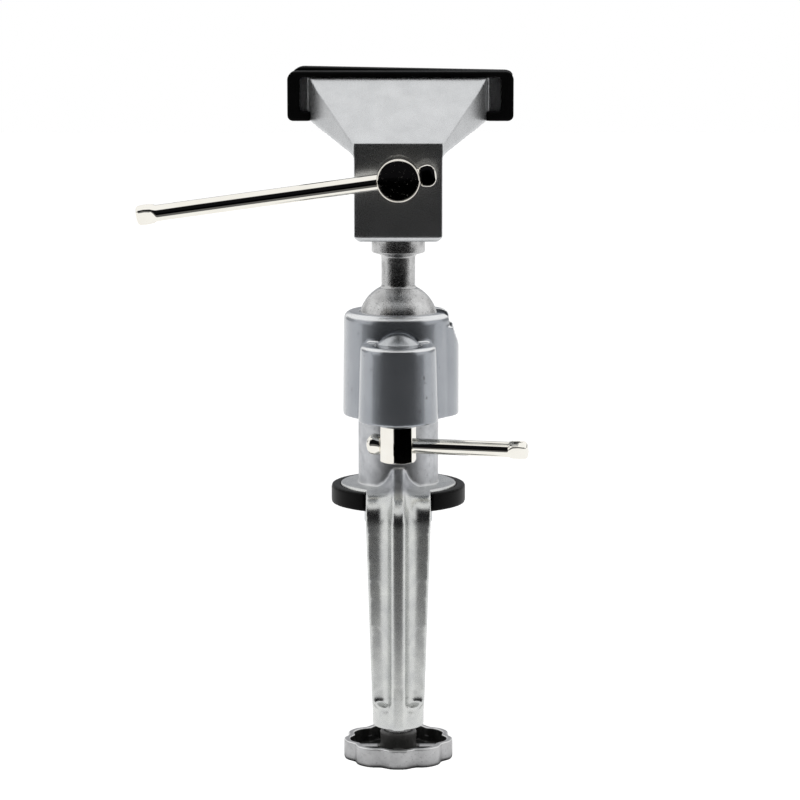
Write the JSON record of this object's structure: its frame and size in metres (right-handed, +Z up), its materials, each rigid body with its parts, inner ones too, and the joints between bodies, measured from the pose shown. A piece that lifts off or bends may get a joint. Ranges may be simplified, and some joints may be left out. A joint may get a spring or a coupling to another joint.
{
  "type": "clamp-on ball joint vise",
  "caption": "Table-clamp vise for circuit boards: C-clamp base, swivelling ball socket with lever lock, and rubber-faced jaws closed by a lead screw with a sliding T-bar.",
  "frame": {"origin": "centre of the underside of the rubber table pad, on the axis of the post and the clamp screw", "axes": "+Z up along the post; the spine, the lock and the lead screw's head face -Y; the throat of the clamp opens towards +Y; the stem slot of the socket faces +X"},
  "size_m": [0.1338, 0.114, 0.2509],
  "materials": {
    "cast_aluminium": "tumbled die casting",
    "jaw_casting": "satin silver",
    "wheel_casting": "coarse die casting",
    "grey_lacquer": "semi-gloss grey lacquer",
    "ball_steel": "grainy polished casting",
    "nickel": "bright nickel plate",
    "zinc_plate": "bright zinc plate",
    "steel": "cut thread, oiled",
    "spring_steel": "black oxide",
    "brass": "plain",
    "bearing_plastic": "natural nylon",
    "pad_rubber": "satin moulded rubber",
    "jaw_rubber": "matte moulded rubber"
  },
  "bodies": {
    "frame": {"clamp_frame": "cast_aluminium", "table_pad": "pad_rubber"},
    "swivel_pad": {"clamp_pad": "zinc_plate"},
    "clamp_drive": {"clamp_screw": "steel", "hand_wheel": "wheel_casting", "wheel_pin": "steel", "pad_clip": "spring_steel"},
    "socket": {"socket_housing": "grey_lacquer", "ball_seat": "bearing_plastic", "housing_set_screw": "spring_steel"},
    "lock_drive": {"lock_screw": "nickel", "lock_washer": "zinc_plate"},
    "lock_lever": {"lock_bar": "nickel"},
    "plunger": {"lock_plunger": "zinc_plate"},
    "shoe": {"brake_shoe": "brass"},
    "stem": {"ball_stem": "ball_steel"},
    "head": {"fixed_jaw": "jaw_casting", "fixed_jaw_cover": "jaw_rubber", "lead_nut": "steel"},
    "front_jaw": {"moving_jaw": "jaw_casting", "moving_jaw_cover": "jaw_rubber"},
    "lead_drive": {"lead_screw": "nickel", "thrust_washer": "zinc_plate", "retaining_ring": "spring_steel"},
    "lead_lever": {"lead_screw_bar": "nickel"}
  },
  "joints": [
    {"name": "clamp_travel", "type": "slide", "parent": "frame", "child": "swivel_pad", "axis": [0, 0, 1], "range_m": [-0.056, 0.002]},
    {"name": "clamp_screw_turn", "type": "hinge", "parent": "swivel_pad", "child": "clamp_drive", "pos_m": [0, 0, -0.05], "axis": [0, 0, 1], "range_deg": [-13460, 500]},
    {"name": "socket_swivel", "type": "hinge", "parent": "frame", "child": "socket", "pos_m": [0, 0, 0.04], "axis": [0, 0, 1], "continuous": true},
    {"name": "lock_screw_turn", "type": "hinge", "parent": "socket", "child": "lock_drive", "pos_m": [0, -0.023, 0.0242], "axis": [0, 0, 1], "range_deg": [-26, 52]},
    {"name": "lock_bar_slide", "type": "slide", "parent": "lock_drive", "child": "lock_lever", "axis": [-0.9744, 0.225, 0], "range_m": [0, 0.033]},
    {"name": "plunger_draw", "type": "slide", "parent": "socket", "child": "plunger", "axis": [0, 0, 1], "range_m": [-0.00017, 0.00008]},
    {"name": "shoe_press", "type": "slide", "parent": "socket", "child": "shoe", "axis": [0, 1, 0], "range_m": [-0.00003, 0.00006]},
    {"name": "ball_tilt", "type": "hinge", "parent": "socket", "child": "stem", "pos_m": [0, 0, 0.0647], "axis": [0, 1, 0], "range_deg": [-40, 90]},
    {"name": "head_turn", "type": "hinge", "parent": "stem", "child": "head", "pos_m": [0, 0, 0.0987], "axis": [0, 0, 1], "continuous": true},
    {"name": "jaw_travel", "type": "slide", "parent": "head", "child": "front_jaw", "axis": [0, -1, 0], "range_m": [-0.0023, 0.04]},
    {"name": "lead_screw_turn", "type": "hinge", "parent": "front_jaw", "child": "lead_drive", "pos_m": [0, -0.0594, 0.1207], "axis": [0, -1, 0], "range_deg": [-410, 7190]},
    {"name": "lead_bar_slide", "type": "slide", "parent": "lead_drive", "child": "lead_lever", "axis": [0.9905, 0, 0.1374], "range_m": [0, 0.074]}
  ],
  "couplings": [
    {"joint": "clamp_screw_turn", "follows": "clamp_travel", "rad_per_m": 4188.8},
    {"joint": "jaw_travel", "follows": "lead_screw_turn", "m_per_rad": 0.00031831},
    {"joint": "lock_screw_turn", "follows": "plunger_draw", "rad_per_m": -5026.5},
    {"joint": "shoe_press", "follows": "plunger_draw", "ratio": -0.33333}
  ]
}
